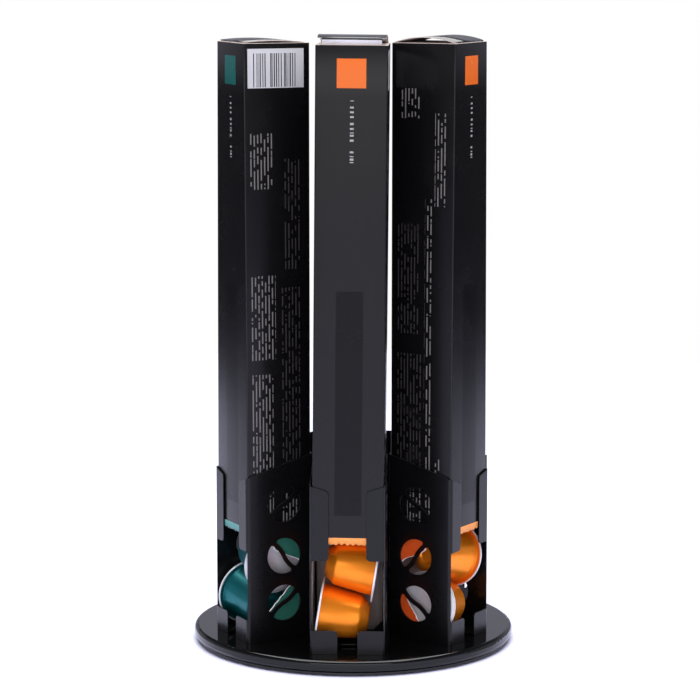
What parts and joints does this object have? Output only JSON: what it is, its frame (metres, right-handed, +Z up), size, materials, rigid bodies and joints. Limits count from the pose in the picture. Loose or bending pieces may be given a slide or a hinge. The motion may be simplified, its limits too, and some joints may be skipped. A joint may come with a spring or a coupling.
{
  "type": "coffee capsule dispenser",
  "caption": "Revolving coffee capsule dispenser: folded steel channels on a ball-bearing turntable hold upright sleeves whose lowest capsules drop into a window at the foot.",
  "frame": {"origin": "on the table under the turning axis", "axes": "+Z up the turning axis, -Y towards the front channel, +X to its right as seen from the front"},
  "size_m": [0.18, 0.18, 0.3423],
  "materials": {
    "base_enamel": "matte black painted steel plate",
    "foot_rubber": "matte black rubber",
    "bearing_steel": "plain zinc-plated and hardened steel",
    "cage_plastic": "natural nylon",
    "disc_gloss": "high gloss black",
    "powder_coat": "satin black powder coat on sheet steel",
    "sleeve_orange": "satin charcoal printed board with an orange chip and edge",
    "sleeve_green": "satin charcoal printed board with a green chip and edge",
    "capsule_orange": "orange lacquered aluminium",
    "capsule_green": "dark green lacquered aluminium",
    "foil": "bright aluminium foil"
  },
  "bodies": {
    "base": {"base_plate": "base_enamel", "rubber_feet": "foot_rubber", "lower_race": "bearing_steel", "pivot_pin": "bearing_steel", "pivot_washer": "bearing_steel", "pivot_clip": "bearing_steel"},
    "ball_cage": {"ball_cage": "cage_plastic", "bearing_balls": "bearing_steel"},
    "carousel": {"turntable_disc": "disc_gloss", "upper_race": "bearing_steel", "pivot_bush": "cage_plastic", "channel_screws": "bearing_steel", "channel_nuts": "bearing_steel", "channel_front": "powder_coat", "floor_tray_front": "powder_coat", "channel_front_right": "powder_coat", "floor_tray_front_right": "powder_coat", "channel_back_right": "powder_coat", "floor_tray_back_right": "powder_coat", "channel_back": "powder_coat", "floor_tray_back": "powder_coat", "channel_back_left": "powder_coat", "floor_tray_back_left": "powder_coat", "channel_front_left": "powder_coat", "floor_tray_front_left": "powder_coat"},
    "sleeve_front": {"sleeve_front": "sleeve_orange"},
    "capsules_front": {"capsule_cups_front": "capsule_orange", "capsule_lids_front": "foil"},
    "sleeve_front_right": {"sleeve_front_right": "sleeve_orange"},
    "capsules_front_right": {"capsule_cups_front_right": "capsule_orange", "capsule_lids_front_right": "foil"},
    "sleeve_front_left": {"sleeve_front_left": "sleeve_green"},
    "capsules_front_left": {"capsule_cups_front_left": "capsule_green", "capsule_lids_front_left": "foil"}
  },
  "joints": [
    {"name": "carousel_spin", "type": "hinge", "parent": "base", "child": "carousel", "pos_m": [0, 0, 0], "axis": [0, 0, 1], "continuous": true},
    {"name": "ball_cage_spin", "type": "hinge", "parent": "base", "child": "ball_cage", "pos_m": [0, 0, 0], "axis": [0, 0, 1], "continuous": true},
    {"name": "sleeve_front_lift", "type": "slide", "parent": "carousel", "child": "sleeve_front", "axis": [0, 0, 1], "range_m": [0, 0.27]},
    {"name": "capsules_front_lift", "type": "slide", "parent": "carousel", "child": "capsules_front", "axis": [0, 0, 1], "range_m": [0, 0.0125]},
    {"name": "sleeve_front_right_lift", "type": "slide", "parent": "carousel", "child": "sleeve_front_right", "axis": [0, 0, 1], "range_m": [0, 0.27]},
    {"name": "capsules_front_right_lift", "type": "slide", "parent": "carousel", "child": "capsules_front_right", "axis": [0, 0, 1], "range_m": [0, 0.0125]},
    {"name": "sleeve_front_left_lift", "type": "slide", "parent": "carousel", "child": "sleeve_front_left", "axis": [0, 0, 1], "range_m": [0, 0.27]},
    {"name": "capsules_front_left_lift", "type": "slide", "parent": "carousel", "child": "capsules_front_left", "axis": [0, 0, 1], "range_m": [0, 0.0125]}
  ],
  "couplings": [
    {"joint": "ball_cage_spin", "follows": "carousel_spin", "ratio": 0.5}
  ]
}
